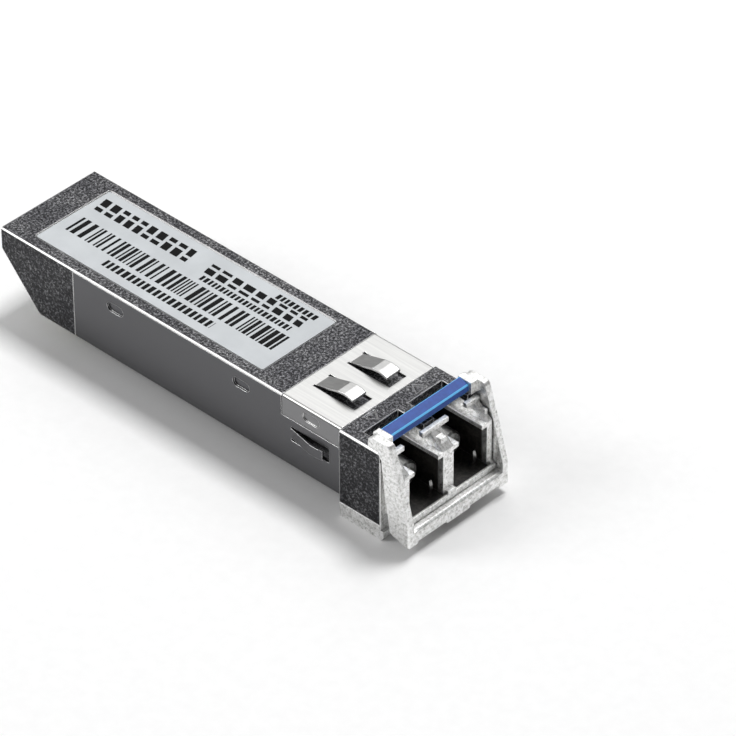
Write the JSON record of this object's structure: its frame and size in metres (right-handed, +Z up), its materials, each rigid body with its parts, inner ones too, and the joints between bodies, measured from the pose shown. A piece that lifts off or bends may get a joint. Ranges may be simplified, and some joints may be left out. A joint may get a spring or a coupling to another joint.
{
  "type": "optical transceiver module",
  "caption": "Plug-in optical transceiver: a slim metal module with two fibre ports at one end, a card edge at the other and a swinging bail that frees its latch.",
  "frame": {"origin": "bottom centre of the closed module's bounding box", "axes": "+X along the module towards the fibre ports, +Z up out of the labelled roof, +Y to the receive side"},
  "size_m": [0.0568, 0.0146, 0.0125],
  "materials": {
    "die_cast_shell": "die-cast zinc, dark nickel plate over a fine texture",
    "label_film": "light grey printed film",
    "stamped_cover": "folded sheet steel, dark nickel plate",
    "spring_collar": "bright nickel-plated spring sheet",
    "plated_casting": "die-cast zinc, bright nickel plate",
    "liner_plastic": "black moulded plastic",
    "blue_plastic": "blue moulded plastic",
    "stamped_steel": "plain stainless steel",
    "board_laminate": "green solder mask on glass laminate",
    "gold_plate": "gold plate",
    "soft_pad": "soft filled silicone",
    "ferrite": "sintered ferrite",
    "ceramic": "sintered ceramic with tinned ends",
    "chip_plastic": "black moulding compound",
    "white_ceramic": "polished zirconia",
    "flex_film": "amber polyimide film"
  },
  "bodies": {
    "module": {"top_shell": "die_cast_shell", "label": "label_film", "bottom_cover": "stamped_cover", "ground_collar": "spring_collar", "receptacle_frame": "plated_casting", "port_liner": "liner_plastic", "slider_spring": "stamped_steel", "circuit_board": "board_laminate", "edge_contacts": "gold_plate", "heat_pad": "soft_pad", "power_inductors": "ferrite", "capacitors": "ceramic", "board_screws": "stamped_steel", "optics_clamp": "stamped_steel", "laser_driver": "chip_plastic", "post_amplifier": "chip_plastic", "microcontroller": "chip_plastic", "transmitter_sleeve_holder": "stamped_steel", "transmitter_split_sleeve": "white_ceramic", "transmitter_fibre_stub": "white_ceramic", "transmitter_can": "stamped_steel", "transmitter_header": "gold_plate", "transmitter_flex": "flex_film", "receiver_sleeve_holder": "stamped_steel", "receiver_split_sleeve": "white_ceramic", "receiver_fibre_stub": "white_ceramic", "receiver_can": "stamped_steel", "receiver_header": "gold_plate", "receiver_flex": "flex_film"},
    "bail": {"bail_ring": "plated_casting", "bail_sleeve": "blue_plastic"},
    "slider": {"latch_slider": "stamped_steel"}
  },
  "joints": [
    {"name": "bail_hinge", "type": "hinge", "parent": "module", "child": "bail", "pos_m": [0.0267, 0, 0.00315], "axis": [0, 1, 0], "range_deg": [0, 90]},
    {"name": "slider_slide", "type": "slide", "parent": "module", "child": "slider", "axis": [-1, 0, 0], "range_m": [0, 0.00195], "deforming": ["slider_spring"]}
  ],
  "couplings": [
    {"joint": "bail_hinge", "follows": "slider_slide", "rad_per_m": 805.5}
  ]
}
